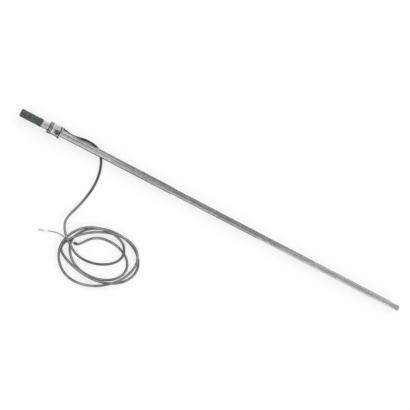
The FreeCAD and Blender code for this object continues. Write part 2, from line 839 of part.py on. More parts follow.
def place_ferrule(body):
    """Lay the ferrule on the floor along its own heading."""
    turn = FreeCAD.Rotation(FreeCAD.Vector(0, 0, 1), measure("ferrule_heading"))
    body.Placement.Rotation = turn
    bind(body, "Placement.Rotation.Angle", "ferrule_heading")
    bind(body, "Placement.Base.y", "ferrule_y")


end_cap()
stem()
insulators()
gland_nut()
clamp_rings()
clamp_body()
clamp_screw()
lead_entry()
splice()
lead()
lead_coil()
stripped_end()
doc.recompute()

for item in doc.Objects:
    if "Invalid" in item.State or "Error" in item.State:
        raise RuntimeError("%s is in state %s" % (item.Name, item.State))
for part in parts:
    if part.Shape.isNull() or not part.Shape.isValid() or not part.Shape.Solids:
        raise RuntimeError("%s has no valid solid" % part.Label)

os.makedirs("parts", exist_ok=True)
for part in parts:
    part.Shape.exportStep("parts/%s.step" % part.Label)
    box = part.Shape.BoundBox
    print("%-18s x %.2f..%.2f  y %.2f..%.2f  z %.2f..%.2f" % (
        part.Label, box.XMin, box.XMax, box.YMin, box.YMax, box.ZMin, box.ZMax))
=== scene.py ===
# %% Flame sensor probe: finish, loose lead, light and camera
import math
import bpy
import numpy as np
from mathutils import Matrix, Vector


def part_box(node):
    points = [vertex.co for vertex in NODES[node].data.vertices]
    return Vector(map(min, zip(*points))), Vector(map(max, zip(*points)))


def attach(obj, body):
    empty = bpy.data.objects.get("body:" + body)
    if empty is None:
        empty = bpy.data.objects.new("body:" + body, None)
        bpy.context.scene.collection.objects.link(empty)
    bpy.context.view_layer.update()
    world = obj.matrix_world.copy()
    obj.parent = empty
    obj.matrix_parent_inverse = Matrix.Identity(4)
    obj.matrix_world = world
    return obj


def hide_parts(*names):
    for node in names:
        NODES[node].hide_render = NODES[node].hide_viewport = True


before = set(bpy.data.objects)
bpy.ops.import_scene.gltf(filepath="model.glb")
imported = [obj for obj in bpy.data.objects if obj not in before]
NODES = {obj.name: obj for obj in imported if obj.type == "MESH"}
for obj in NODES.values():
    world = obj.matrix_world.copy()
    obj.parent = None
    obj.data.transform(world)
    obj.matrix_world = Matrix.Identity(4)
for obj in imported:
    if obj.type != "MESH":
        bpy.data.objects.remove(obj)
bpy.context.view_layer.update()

MM = 0.001

# %% [markdown]
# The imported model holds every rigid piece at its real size. This script adds what a plain solid can't
# carry: the finish of each surface, the knurl of the rubber cap, the woven lead with its loose turns,
# the twisted strands of the bare wire, and the studio. Lengths are metres; `MM` turns millimetres
# into metres, and every size in a material is in millimetres.

# %% [markdown]
# The probe lies on a table and is seen from high above its cap end, 68 degrees up. The camera's heading
# is turned away from the stem's, so the stem runs down to the right and the head is a little nearer
# than the flame end. A long lens keeps that taper gentle. The three axes of the camera are worked out
# from the elevation and the heading:
#     back = (-cos h cos e, -sin h cos e, sin e),  up = (-sin h, cos h, 0),  right = up x back

# %% The camera
CAMERA_ELEVATION = math.radians(68.0)
CAMERA_HEADING = math.radians(25.8)
CAMERA_DISTANCE = 1.271
CAMERA_TARGET = np.array([-0.0309, 0.0034, 0.0080])
FOCAL_MM = 87.8
SENSOR_MM = 36.0

level = math.cos(CAMERA_ELEVATION)
back = np.array([-math.cos(CAMERA_HEADING) * level, -math.sin(CAMERA_HEADING) * level,
                 math.sin(CAMERA_ELEVATION)])
up = np.array([-math.sin(CAMERA_HEADING), math.cos(CAMERA_HEADING), 0.0])
right = np.cross(up, back)

camera_pose = np.eye(4)
camera_pose[:3, 0] = right
camera_pose[:3, 1] = up
camera_pose[:3, 2] = back
camera_pose[:3, 3] = CAMERA_TARGET + CAMERA_DISTANCE * back

camera_data = bpy.data.cameras.new("camera")
camera_data.lens = FOCAL_MM
camera_data.sensor_width = SENSOR_MM
camera = bpy.data.objects.new("camera", camera_data)
bpy.context.scene.collection.objects.link(camera)
camera.matrix_world = Matrix(camera_pose.tolist())
bpy.context.scene.camera = camera
print("camera %.2f m above the table" % camera_pose[2, 3])

# %% [markdown]
# The lead leaves the hood beside the sleeve, dips to the table, bows out, crosses under the sleeve and
# runs down to a heap of loose turns. A few control points hold that line. They are the points of the
# CAD tube, with the last ones moved a little so that the line runs into the first turn. The bare wire
# has a list of its own, because it is a thinner cord. All are in metres.

# %% The lead's route to the coil
LEAD_RADIUS = 0.0015
LEAD_ROUTE = [
    (-0.2402, 0.00562, 0.00518),
    (-0.2315, 0.00562, 0.00518),
    (-0.2265, 0.00440, 0.00205),
    (-0.2170, 0.00470, 0.00150),
    (-0.2040, 0.00800, 0.00150),
    (-0.1860, 0.00670, 0.00150),
    (-0.1735, -0.00800, 0.00150),
    (-0.1690, -0.03400, 0.00150),
    (-0.1750, -0.06400, 0.00150),
    (-0.1865, -0.08900, 0.00150),
    (-0.1840, -0.10150, 0.00150),
    (-0.1765, -0.11050, 0.00150),
]
LEAD_END = [
    (-0.1432, -0.09570, 0.00150),
    (-0.1500, -0.10220, 0.00150),
    (-0.1562, -0.11050, 0.00165),
    (-0.1595, -0.11150, 0.00180),
]
WIRE_RADIUS = 0.00065
WIRE_ROUTE = [
    (-0.1595, -0.11150, 0.00180),
    (-0.1725, -0.11150, 0.00180),
    (-0.1865, -0.10790, 0.00066),
    (-0.1999, -0.11262, 0.00145),
]
print("%d control points to the coil, %d from it to the band" % (len(LEAD_ROUTE), len(LEAD_END)))

# %% [markdown]
# Nothing ties the turns, so each one is an oval of its own: centre, half length, half width and a tilt w.
# Going round by an angle t,
#     x = cx + a cos t cos w - b sin t sin w,   y = cy + a cos t sin w + b sin t cos w.
# A spiral formula would be shorter, but its turns would be evenly spaced, as in a wound coil; a list
# of ovals keeps them loose. Between two turns the ovals melt into each other over half a turn, with a
# curve that starts and ends level, so the lead never kinks. In two places a turn bulges a few
# millimetres out of its oval: each nudge gives the place, counted in turns, and its size.

# %% The loose turns
TURNS = [
    {"centre": (-136.2, -103.0), "half_length": 35.9, "half_width": 21.6, "tilt": 9.0},
    {"centre": (-129.6, -117.6), "half_length": 53.0, "half_width": 33.0, "tilt": 27.5},
    {"centre": (-121.9, -110.0), "half_length": 46.6, "half_width": 31.8, "tilt": 3.0},
    {"centre": (-125.7, -115.4), "half_length": 37.5, "half_width": 24.4, "tilt": 3.5},
]
POINTS_PER_TURN = 32
FIRST_STEP = 3
STEPS_LEFT_OFF = 6
SEAM = 0.25
NUDGES = ((1.00, 3.2), (2.97, 1.8))
NUDGE_WIDTH = 0.08
longest_turn = 2 * max(turn["half_length"] for turn in TURNS)
print("%d turns, the longest %.0f mm" % (len(TURNS), longest_turn))


def oval_numbers(turn):
    """One turn's centre, half length, half width and tilt in radians, as an array in metres."""
    return np.array([turn["centre"][0] * MM, turn["centre"][1] * MM, turn["half_length"] * MM,
                     turn["half_width"] * MM, math.radians(turn["tilt"])])


def oval_at(progress):
    """Numbers of the oval after this many turns: this turn's times 1 - m, plus its neighbour's times m.

    m is n^2 / 2, and n is how near the seam is: 1 on it, and 0 from SEAM of a turn away.
    """
    number = min(int(progress), len(TURNS) - 1)
    share = progress - number
    here = oval_numbers(TURNS[number])
    if share > 1 - SEAM and number + 1 < len(TURNS):
        nearness = (share - 1 + SEAM) / SEAM
        other = oval_numbers(TURNS[number + 1])
    elif share < SEAM and number > 0:
        nearness = (SEAM - share) / SEAM
        other = oval_numbers(TURNS[number - 1])
    else:
        return here
    mix = nearness ** 2 / 2
    return here * (1 - mix) + other * mix


def nudge_at(progress):
    """Push towards -X in metres: the sum of size exp(-((progress - place) / width)^2)."""
    push = sum(size * math.exp(-((progress - place) / NUDGE_WIDTH) ** 2) for place, size in NUDGES)
    return push * MM


def turn_points():
    """Points round all the turns, flat on the table, from the side where the wire comes out."""
    points = []
    for step in range(FIRST_STEP, POINTS_PER_TURN * len(TURNS) - STEPS_LEFT_OFF):
        progress = step / POINTS_PER_TURN
        angle = math.pi + 2 * math.pi * progress
        centre_x, centre_y, half_length, half_width, tilt = oval_at(progress)
        along = half_length * math.cos(angle)
        across = half_width * math.sin(angle)
        points.append((centre_x + along * math.cos(tilt) - across * math.sin(tilt)
                       - nudge_at(progress),
                       centre_y + along * math.sin(tilt) + across * math.cos(tilt),
                       LEAD_RADIUS))
    return points


# %% [markdown]
# A cord bends smoothly, so its line is a NURBS spline of order 3 that is held at both ends: it follows
# its control points without passing through them, which rounds every corner. Meshes that follow the
# line take their points from that spline, so the woven tube and the strands share one route.

# %% Lines from control points
LINE_ORDER = 3
LINE_POINTS_PER_CONTROL = 10


def nurbs_line(points):
    """Points along the spline of LINE_ORDER that has these control points."""
    curve = bpy.data.curves.new("line", "CURVE")
    curve.dimensions = "3D"
    curve.resolution_u = LINE_POINTS_PER_CONTROL
    spline = curve.splines.new("NURBS")
    spline.points.add(len(points) - 1)
    for point, place in zip(spline.points, points):
        point.co = (*place, 1.0)
    spline.order_u = LINE_ORDER
    spline.use_endpoint_u = True
    holder = bpy.data.objects.new("line", curve)
    bpy.context.scene.collection.objects.link(holder)
    mesh = bpy.data.meshes.new_from_object(holder)
    line = np.empty(len(mesh.vertices) * 3)
    mesh.vertices.foreach_get("co", line)
    bpy.data.objects.remove(holder)
    bpy.data.curves.remove(curve)
    bpy.data.meshes.remove(mesh)
    return line.reshape(-1, 3)


def distance_along(line):
    """Distance of each point from the start: the running sum of the lengths between points."""
    steps = np.linalg.norm(np.diff(line, axis=0), axis=1)
    return np.concatenate([[0.0], np.cumsum(steps)])


def evenly(line, step):
    """The same line with evenly spaced points, about one step apart, read off between its points."""
    distance = distance_along(line)
    stations = np.linspace(0.0, distance[-1], max(2, round(distance[-1] / step) + 1))
    return np.stack([np.interp(stations, distance, line[:, axis]) for axis in range(3)], axis=1)


# %% [markdown]
# The far end lies on the table, and each stretch rests on those that come after it along the lead.
# Where two centre lines pass at a distance d, seen from above, the upper one has to stand
#     sqrt(T^2 - d^2)
# over the lower one, with T the sum of the two radii. A lead can't kink, so every such rise is flat over
# the crossing and then let down along a cosine slope many times longer than it is high.

# %% Laying the turns on each other
STATION = 0.0015
SLOPE_STATIONS = 20
FLAT_STATIONS = 6
SKIP_STATIONS = 14
SEARCH_STATIONS = 20
SPARE = 1.05
ROUTE_POINTS_OVER_COIL = 5
END_POINTS_HELD = 3


def rise_needed(place, lower, heights, thickness):
    """Height of a centre line that rests on the lower points: the largest h + sqrt(T^2 - d^2)."""
    gap = np.linalg.norm(lower[:, :2] - place[:2], axis=1)
    near = gap < thickness
    if not near.any():
        return 0.0
    return float((heights[near] + np.sqrt(thickness ** 2 - gap[near] ** 2)).max())


def rest_on_lower_turns(points, wire, first, last):
    """Control points with new heights, so that those from first to last rest on what lies under them.

    The rise at a crossing is kept whole for FLAT_STATIONS, and then falls by (1 + cos) / 2.
    """
    stations = evenly(nurbs_line(points), STATION)
    heights = np.full(len(stations), LEAD_RADIUS)
    share = distance_along(points)
    share = share / share[-1]
    reach = np.rint(share * (len(stations) - 1)).astype(int)
    for number, guess in enumerate(reach):
        low = max(0, guess - SEARCH_STATIONS)
        window = stations[low:guess + SEARCH_STATIONS + 1, :2]
        reach[number] = low + np.linalg.norm(window - points[number, :2], axis=1).argmin()
    slope = 0.5 * (1 + np.cos(np.linspace(0, np.pi, SLOPE_STATIONS)))
    hump = np.concatenate([np.ones(FLAT_STATIONS), slope])
    for index in range(reach[last], reach[first] - 1, -1):
        above_lead = rise_needed(stations[index], stations[index + SKIP_STATIONS:],
                                 heights[index + SKIP_STATIONS:], 2 * LEAD_RADIUS * SPARE)
        above_wire = rise_needed(stations[index], wire, wire[:, 2],
                                 (LEAD_RADIUS + WIRE_RADIUS) * SPARE)
        rise = max(above_lead, above_wire) - LEAD_RADIUS
        if rise <= 0:
            continue
        for offset, fall in enumerate(hump):
            for station in (index - offset, index + offset):
                if reach[first] <= station <= reach[last]:
                    heights[station] = max(heights[station], LEAD_RADIUS + rise * fall)
    settled = points.copy()
    moved = slice(first, last + 1)
    settled[moved, 2] = np.maximum(points[moved, 2], heights[reach[moved]])
    return settled


wire_line = nurbs_line(WIRE_ROUTE)
lead_points = np.array(LEAD_ROUTE + turn_points() + LEAD_END)
COIL_APPROACH = len(LEAD_ROUTE) - ROUTE_POINTS_OVER_COIL
LAST_SETTLED = len(lead_points) - END_POINTS_HELD
lead_points = rest_on_lower_turns(lead_points, wire_line, COIL_APPROACH, LAST_SETTLED)
lead_line = nurbs_line(lead_points)

# %% [markdown]
# Every new piece is a grid of rings. A ring is joined to the next one by four-sided faces, and the two
# ends are closed, so each mesh is watertight with its normals outward. A curve with a bevel would be
# quicker, but it can't carry a weave or a number for each vertex.

# %% Meshes from grids
def ring_faces(first, rings, sides):
    """Faces between rings of vertices, and the two end faces, from this first vertex number on."""
    index = first + np.arange(rings * sides).reshape(rings, sides)
    beside = np.roll(index, -1, axis=1)
    quads = np.stack([index[:-1], index[1:], beside[1:], beside[:-1]], axis=-1).reshape(-1, 4)
    faces = [tuple(corners) for corners in quads.tolist()]
    faces.append(tuple(index[0].tolist()))
    faces.append(tuple(index[-1][::-1].tolist()))
    return faces


def mesh_of_grids(name, grids):
    """One mesh of several closed grids, each of shape (rings, sides, 3)."""
    vertices = []
    faces = []
    for grid in grids:
        faces += ring_faces(len(vertices), grid.shape[0], grid.shape[1])
        vertices += grid.reshape(-1, 3).tolist()
    mesh = bpy.data.meshes.new(name)
    mesh.from_pydata(vertices, [], faces)
    mesh.polygons.foreach_set("use_smooth", np.ones(len(mesh.polygons), dtype=bool))
    mesh.update()
    return mesh


def keep_numbers(mesh, name, values):
    """Store one number per vertex, for the material to read."""
    attribute = mesh.attributes.new(name, "FLOAT", "POINT")
    attribute.data.foreach_set("value", np.asarray(values, dtype=np.float32).ravel())


def add_piece(name, mesh):
    """Piece that stays with the probe."""
    piece = bpy.data.objects.new(name, mesh)
    bpy.context.scene.collection.objects.link(piece)
    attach(piece, "probe")
    return piece


def frames_along(line):
    """Two unit vectors across the line at each point, carried along it without any twist.

    Each step takes from the last side vector its part along the new heading, and scales it to 1.
    """
    heading = np.gradient(line, axis=0)
    heading /= np.linalg.norm(heading, axis=1)[:, None]
    side = np.cross(heading[0], [0.0, 0.0, 1.0])
    sides = []
    for direction in heading:
        side = side - direction * np.dot(side, direction)
        side = side / np.linalg.norm(side)
        sides.append(side)
    sides = np.array(sides)
    return sides, np.cross(sides, heading)


def tube_grid(line, radii, angles):
    """Rings round a line: line + r (cos a times one side + sin a times the other), a going round.

    radii is a number or an array of shape (rings, sides).
    """
    sideways, upward = frames_along(line)
    across = np.cos(angles)[None, :, None] * sideways[:, None, :]
    across = across + np.sin(angles)[None, :, None] * upward[:, None, :]
    radii = np.broadcast_to(radii, across.shape[:2])
    return line[:, None, :] + radii[:, :, None] * across


# %% [markdown]
# The jacket is a plain braid over the insulated core: eight flat strands wind one way and eight the
# other way, each going over and under the strands it meets. Modelling sixteen strands would take a
# million faces, and a bump map alone leaves the outline smooth, so the weave is pressed into one
# tube. With u along the lead, as a turn of the braid's lay, and v round it,
#     one = sin(n (v + u) / 2),   other = sin(n (v - u) / 2)
# are zero between neighbouring strands, and the product's sign says which family lies on top. The
# relief is an eighth of a millimetre, as deep as the strands are thick.

# %% The woven lead
BRAID_STRANDS = 8
BRAID_LAY = 0.014
BRAID_DEPTH = 0.00013
BRAID_SIDES = 40
BRAID_STEP = 0.0005
STRAND_ROUNDING = 0.6
UNDER_SHARE = 0.2


def braid_mesh(line):
    """Closed woven tube along the line: its radius is cut back by depth (1 - height).

    height is the larger of |one|^r and |other|^r, where the lower family is scaled down. It, the upper
    family and the distance from the head are kept on each vertex for the finish.
    """
    line = evenly(line, BRAID_STEP)
    angles = np.linspace(0, 2 * np.pi, BRAID_SIDES, endpoint=False)
    along = distance_along(line)[:, None] * 2 * np.pi / BRAID_LAY
    one = np.sin(BRAID_STRANDS * (angles[None, :] + along) / 2)
    other = np.sin(BRAID_STRANDS * (angles[None, :] - along) / 2)
    over = np.sign(one * other)
    first = np.abs(one) ** STRAND_ROUNDING * (1 - UNDER_SHARE + UNDER_SHARE * over)
    second = np.abs(other) ** STRAND_ROUNDING * (1 - UNDER_SHARE - UNDER_SHARE * over)
    height = np.maximum(first, second)
    radii = LEAD_RADIUS - BRAID_DEPTH * (1 - height)
    mesh = mesh_of_grids("woven_lead", [tube_grid(line, radii, angles)])
    keep_numbers(mesh, "weave", height)
    keep_numbers(mesh, "upper", (first > second).astype(float))
    keep_numbers(mesh, "from_head", np.broadcast_to(distance_along(line)[:, None], height.shape))
    return mesh


lead = add_piece("woven_lead", braid_mesh(lead_line))
print("woven lead: %d faces" % len(lead.data.polygons))
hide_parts("lead_cable", "lead_coil")

# %% [markdown]
# The stripped core is seven tinned strands: one straight, six wound round it. Seven is the number that
# packs without gaps, as in real stranded wire. A strand of radius s lies at 2 s from the middle, so the
# bundle's radius is 3 s. The strands are separate tubes, because their twist shows in the outline.

# %% The bare wire
OUTER_STRANDS = 6
STRAND_RADIUS = WIRE_RADIUS / 3
STRAND_LAY = 0.009
STRAND_SIDES = 10
STRAND_STEP = 0.0003


def twisted_wire(line):
    """Closed strands along the line: one straight, the others helices line + 2 s (cos p, sin p).

    p is a full turn for each lay of the strands, plus each strand's share of a turn.
    """
    line = evenly(line, STRAND_STEP)
    sideways, upward = frames_along(line)
    angles = np.linspace(0, 2 * np.pi, STRAND_SIDES, endpoint=False)
    grids = [tube_grid(line, STRAND_RADIUS, angles)]
    turned = distance_along(line) * 2 * np.pi / STRAND_LAY
    for strand in range(OUTER_STRANDS):
        phase = turned + 2 * np.pi * strand / OUTER_STRANDS
        offset = np.cos(phase)[:, None] * sideways + np.sin(phase)[:, None] * upward
        grids.append(tube_grid(line + 2 * STRAND_RADIUS * offset, STRAND_RADIUS, angles))
    return mesh_of_grids("twisted_wire", grids)


wire = add_piece("twisted_wire", twisted_wire(wire_line))
print("bare wire: %d faces" % len(wire.data.polygons))
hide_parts("core_wire")

# %% [markdown]
# The rubber cap is turned about the stem's axis: a rounded nose, a grip with a diamond knurl, a smooth
# bead round the mouth and the blind bore. It could be a plain solid with a bump map, but a hand feels
# the knurl and its edge shows it, so it is real relief. Two sets of slanting ribs cross; with
#     g = max(|sin((k v + m x)/2)|, |sin((k v - m x)/2)|)
# the grip's radius is cut back by d (1 - g^4), faded out towards the nose and the bead. The pitch is
# coarser than the finest such grips have, so that it still shows from a metre away.

# %% The knurled cap
cap_low, cap_high = (np.array(corner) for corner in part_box("end_cap"))
sleeve_low, sleeve_high = (np.array(corner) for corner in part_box("sleeve_tube"))
AXIS_HEIGHT = float(sleeve_low[2] + sleeve_high[2]) / 2
CAP_RADIUS = 0.0049
BEAD_RADIUS = float(cap_high[2] - cap_low[2]) / 2
BORE_RADIUS = float(sleeve_high[2] - sleeve_low[2]) / 2
BEAD_LENGTH = 0.004
BEAD_RINGS = 8
NOSE_ROUNDING = 0.0008
NOSE_RINGS = 7
LIP_BEVEL = NOSE_ROUNDING / 8
CAP_SIDES = 120
KNURLS = 12
KNURL_LAY = 0.0050
KNURL_DEPTH = 0.00035
RIB_SHARPNESS = 4
GRIP_MARGIN = 0.0018
GRIP_FADE = 0.0006
PLAIN_TONE = 0.86
CAP_STEP = 0.00022
CAP_POLE = 0.00001


def cap_profile():
    """Distance along the axis and radius of each ring, from the nose to the mouth and down the bore.

    The nose is a quarter circle, and the bead rises by (1 - cos) / 2 of its height.
    """
    nose = [(cap_low[0], CAP_POLE)]
    for angle in np.linspace(-math.pi / 2, 0, NOSE_RINGS):
        nose.append((cap_low[0] + NOSE_ROUNDING + NOSE_ROUNDING * math.sin(angle),
                     CAP_RADIUS - NOSE_ROUNDING + NOSE_ROUNDING * math.cos(angle)))
    grip_start = cap_low[0] + NOSE_ROUNDING
    grip_end = cap_high[0] - BEAD_LENGTH
    grip = [(station, CAP_RADIUS) for station in np.arange(grip_start, grip_end, CAP_STEP)[1:]]
    bead = []
    for share in np.linspace(0, 1, BEAD_RINGS):
        ease = 0.5 - 0.5 * math.cos(math.pi * share)
        bead.append((grip_end + share * BEAD_LENGTH / 2,
                     CAP_RADIUS + ease * (BEAD_RADIUS - CAP_RADIUS)))
    lip = [(cap_high[0] - NOSE_ROUNDING / 2, BEAD_RADIUS),
           (cap_high[0] - LIP_BEVEL, BEAD_RADIUS - LIP_BEVEL),
           (cap_high[0], BEAD_RADIUS - NOSE_ROUNDING / 2)]
    bore = [(cap_high[0], BORE_RADIUS), (sleeve_low[0], BORE_RADIUS), (sleeve_low[0], CAP_POLE)]
    return np.array(nose + grip + bead + lip + bore)


def cap_mesh():
    """Closed turned cap: each ring of the profile, cut back by d (1 - g^4) on the grip alone."""
    profile = cap_profile()
    angles = np.linspace(0, 2 * np.pi, CAP_SIDES, endpoint=False)
    station = profile[:, 0][:, None]
    slant = 2 * np.pi * station / KNURL_LAY
    groove = np.maximum(np.abs(np.sin((KNURLS * angles[None, :] + slant) / 2)),
                        np.abs(np.sin((KNURLS * angles[None, :] - slant) / 2)))
    rise = np.clip((station - cap_low[0] - GRIP_MARGIN) / GRIP_FADE, 0, 1)
    fall = np.clip((cap_high[0] - BEAD_LENGTH - GRIP_FADE - station) / GRIP_FADE, 0, 1)
    on_grip = rise * fall * (profile[:, 1][:, None] >= CAP_RADIUS - CAP_POLE)
    radii = profile[:, 1][:, None] - KNURL_DEPTH * (1 - groove ** RIB_SHARPNESS) * on_grip
    grid = np.empty((len(profile), CAP_SIDES, 3))
    grid[:, :, 0] = station
    grid[:, :, 1] = -radii * np.cos(angles)[None, :]
    grid[:, :, 2] = AXIS_HEIGHT + radii * np.sin(angles)[None, :]
    mesh = mesh_of_grids("knurled_cap", [grid])
    keep_numbers(mesh, "groove", np.where(on_grip > 0, groove, PLAIN_TONE))
    return mesh


cap = add_piece("knurled_cap", cap_mesh())
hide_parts("end_cap")
print("knurled cap: %d faces" % len(cap.data.polygons))

# %% [markdown]
# Colours are written as sRGB hex codes, as on a paint card, and shaders work in linear light, so one
# function turns the one into the other.

# %% Colours
def linear(code):
    """Linear colour of an sRGB code: c/12.92 up to 0.04045, and ((c + 0.055)/1.055)^2.4 above it."""
    channels = []
    for start in (1, 3, 5):
        share = int(code[start:start + 2], 16) / 255
        channels.append(share / 12.92 if share <= 0.04045 else ((share + 0.055) / 1.055) ** 2.4)
    return (*channels, 1.0)


print("middle grey #808080 is %.3f in linear light" % linear("#808080")[0])

# %% [markdown]
# A finish is a small tree of nodes. `add` makes one node and wires it in one call, so that a material
# reads as a list of layers and needs no helper of its own for each kind of node.

# %% Nodes
def add(tree, kind, settings=None, **sockets):
    """New shader node: settings are its own properties, the rest are input values or links."""
    node = tree.nodes.new(kind)
    for name, value in (settings or {}).items():
        setattr(node, name, value)
    for name, value in sockets.items():
        socket = node.inputs[name.replace("_", " ")]
        if isinstance(value, bpy.types.NodeSocket):
            tree.links.new(value, socket)
        else:
            socket.default_value = value
    return node


def new_material(name, **sockets):
    """Material with one Principled shader and these constants; returns material, tree and shader."""
    material = bpy.data.materials.new(name)
    material.use_nodes = True
    tree = material.node_tree
    shader = tree.nodes["Principled BSDF"]
    for key, value in sockets.items():
        shader.inputs[key.replace("_", " ")].default_value = value
    return material, tree, shader


def finish_with(tree, shader, **layers):
    """Wire layers into the shader's inputs."""
    for name, layer in layers.items():
        tree.links.new(layer, shader.inputs[name.replace("_", " ")])


def paint(material, *pieces):
    """Give one material to pieces or to CAD nodes, which are named."""
    for piece in pieces:
        mesh = (NODES[piece] if isinstance(piece, str) else piece).data
        mesh.materials.clear()
        mesh.materials.append(material)


# %% [markdown]
# All the finishes share a few layers. Their patterns read Object coordinates in millimetres, so that a
# blotch or a scratch has a real size, stays on its piece when the piece moves, and needs no map.

# %% Layers that the finishes share
NOISE_LOW = 0.3
NOISE_HIGH = 0.7
# Reach and number of rays of the painted shade in inner corners.
CORNER_SHADE_REACH_MM = 1.4
CORNER_SHADE_RAYS = 8


def place_mm(tree, stretch=(1.0, 1.0, 1.0)):
    """Object coordinates in millimetres; a share under 1 draws the pattern out along that axis."""
    place = add(tree, "ShaderNodeTexCoord").outputs["Object"]
    scale = tuple(share / MM for share in stretch)
    return add(tree, "ShaderNodeMapping", Vector=place, Scale=scale).outputs["Vector"]


def noise(tree, vector, size_mm, detail=3.0):
    """Noise with blotches about size_mm across: its scale is 1 over that size."""
    node = add(tree, "ShaderNodeTexNoise", Vector=vector, Scale=1.0 / size_mm, Detail=detail)
    return node.outputs["Fac"]


def spread(tree, factor, low, high):
    """Stretch the middle of a noise, where most of it lies, to the range low to high."""
    node = add(tree, "ShaderNodeMapRange", Value=factor, From_Min=NOISE_LOW, From_Max=NOISE_HIGH,
               To_Min=low, To_Max=high)
    return node.outputs["Result"]


def ramp(tree, factor, *stops):
    """Colour ramp through (position, colour code) stops."""
    node = add(tree, "ShaderNodeValToRGB", Fac=factor)
    elements = node.color_ramp.elements
    while len(elements) < len(stops):
        elements.new(0.5)
    for element, (position, code) in zip(elements, stops):
        element.position = position
        element.color = linear(code)
    return node.outputs["Color"]


def multiplied(tree, first, second):
    """Product of two colours. A Mix node's colour sockets are its inputs 6 and 7 and its output 2."""
    mix = add(tree, "ShaderNodeMix", {"data_type": "RGBA", "blend_type": "MULTIPLY"}, Factor=1.0)
    tree.links.new(first, mix.inputs[6])
    tree.links.new(second, mix.inputs[7])
    return mix.outputs[2]


def painted_corner_shade(tree):
    """Painted shade: grey that darkens inner corners within the reach set above, where shade falls."""
    openness = add(tree, "ShaderNodeAmbientOcclusion", {"samples": CORNER_SHADE_RAYS},
                   Distance=CORNER_SHADE_REACH_MM * MM).outputs["AO"]
    return ramp(tree, openness, (0.40, "#3C3B3A"), (0.70, "#B4B3B2"), (0.92, "#FFFFFF"))


def relief(tree, height, depth_mm):
    """Normal of a surface whose height factor stands for depth_mm."""
    return add(tree, "ShaderNodeBump", Height=height, Distance=depth_mm * MM).outputs["Normal"]


# %% [markdown]
# The sleeve and the stem are drawn and polished stainless tube. Drawing leaves fine scratches along X,
# and handling and heat leave soft blotches several millimetres wide and longer along the tube. Real
# scratches are finer than the fifth of a millimetre used here; they are drawn this coarse so that they
# show. A roughness under 0.22 keeps the reflections long and clear without a mirror's edge.

# %% Drawn stainless steel
SCRATCH_MM = 0.22
SCRATCH_DEPTH_MM = 0.012
SCRATCH_STRETCH = 0.015
STAIN_MM = 7.0
STAIN_STRETCH = 0.22
SPECK_MM = 1.6
SPECK_STRETCH = 0.5


def drawn_stainless():
    """Drawn, polished stainless tube: fine lengthwise scratches under soft handling marks, painted corner
    shade.
    """
    material, tree, shader = new_material("drawn_polished_stainless", Metallic=1.0)
    scratches = noise(tree, place_mm(tree, (SCRATCH_STRETCH, 1.0, 1.0)), SCRATCH_MM, detail=5.0)
    stains = noise(tree, place_mm(tree, (STAIN_STRETCH, 1.0, 1.0)), STAIN_MM)
    specks = noise(tree, place_mm(tree, (SPECK_STRETCH, 1.0, 1.0)), SPECK_MM, detail=4.0)
    tone = multiplied(tree, ramp(tree, stains, (0.35, "#C6C4C5"), (0.65, "#DFDDDE")),
                      ramp(tree, specks, (0.38, "#DEDDDD"), (0.60, "#FFFFFF")))
    finish_with(tree, shader,
                Base_Color=multiplied(tree, tone, painted_corner_shade(tree)),
                Roughness=spread(tree, scratches, 0.13, 0.22),
                Normal=relief(tree, scratches, SCRATCH_DEPTH_MM))
    return material


# %% [markdown]
# The head's body is nickel plated, the ring and washer are zinc plated, and the nut and screw are
# blackened. What they share is a cloudy tone, a fine grain from turning or tumbling, and painted shade
# in the corners; they differ in colour and polish, so one function makes them all.

# %% Plated and blackened fittings
CLOUD_MM = 1.8
GRAIN_MM = 0.25
GRAIN_DEPTH_MM = 0.015
GRAIN_SQUEEZE = 3.0
ROUGHNESS_BELOW = 0.05
ROUGHNESS_ABOVE = 0.07


def plated(name, dark, light, roughness):
    """Plated, turned or blackened metal: cloudy tone, fine grain, faint turning marks, painted corner
    shade.
    """
    material, tree, shader = new_material(name, Metallic=1.0)
    clouds = noise(tree, place_mm(tree), CLOUD_MM)
    grain = noise(tree, place_mm(tree, (GRAIN_SQUEEZE, 1.0, 1.0)), GRAIN_MM, detail=4.0)
    tone = ramp(tree, clouds, (0.35, dark), (0.65, light))
    finish_with(tree, shader,
                Base_Color=multiplied(tree, tone, painted_corner_shade(tree)),
                Roughness=spread(tree, grain, roughness - ROUGHNESS_BELOW,
                                 roughness + ROUGHNESS_ABOVE),
                Normal=relief(tree, grain, GRAIN_DEPTH_MM))
    return material


# %% [markdown]
# The cap is moulded rubber, dark with a green cast. The knurl's grooves are painted dark with shade and
# the tips of its ribs paler; the `groove` number kept on the cap's mesh drives that painted shade, so
# colour and relief can't part. Plug and grommet are plain rubber with the same pebbled skin.

# %% Rubber
PEBBLE_MM = 0.3
PEBBLE_DEPTH_MM = 0.05
MOTTLE_MM = 1.6
MOTTLE_STRETCH = 0.5
RUBBER_CLOUD_MM = 2.5


def grip_rubber():
    """Moulded dark green-grey rubber: painted shade in the knurl's grooves, paler rib tips, mottled,
    matt.
    """
    material, tree, shader = new_material("moulded_grip_rubber", Roughness=0.55)
    groove = add(tree, "ShaderNodeAttribute", {"attribute_name": "groove"}).outputs["Fac"]
    mottle = noise(tree, place_mm(tree, (MOTTLE_STRETCH, 1.0, 1.0)), MOTTLE_MM, detail=4.0)
    pebbles = noise(tree, place_mm(tree), PEBBLE_MM)
    # Painted shade: dark in the knurl's grooves, paler on the tips of its ribs.
    painted_shading = ramp(tree, groove, (0.70, "#272B2A"), (0.90, "#5B6260"), (1.0, "#7D8582"))
    worn = ramp(tree, mottle, (0.38, "#7E8380"), (0.62, "#FFFFFF"))
    finish_with(tree, shader, Base_Color=multiplied(tree, painted_shading, worn),
                Normal=relief(tree, pebbles, PEBBLE_DEPTH_MM))
    return material


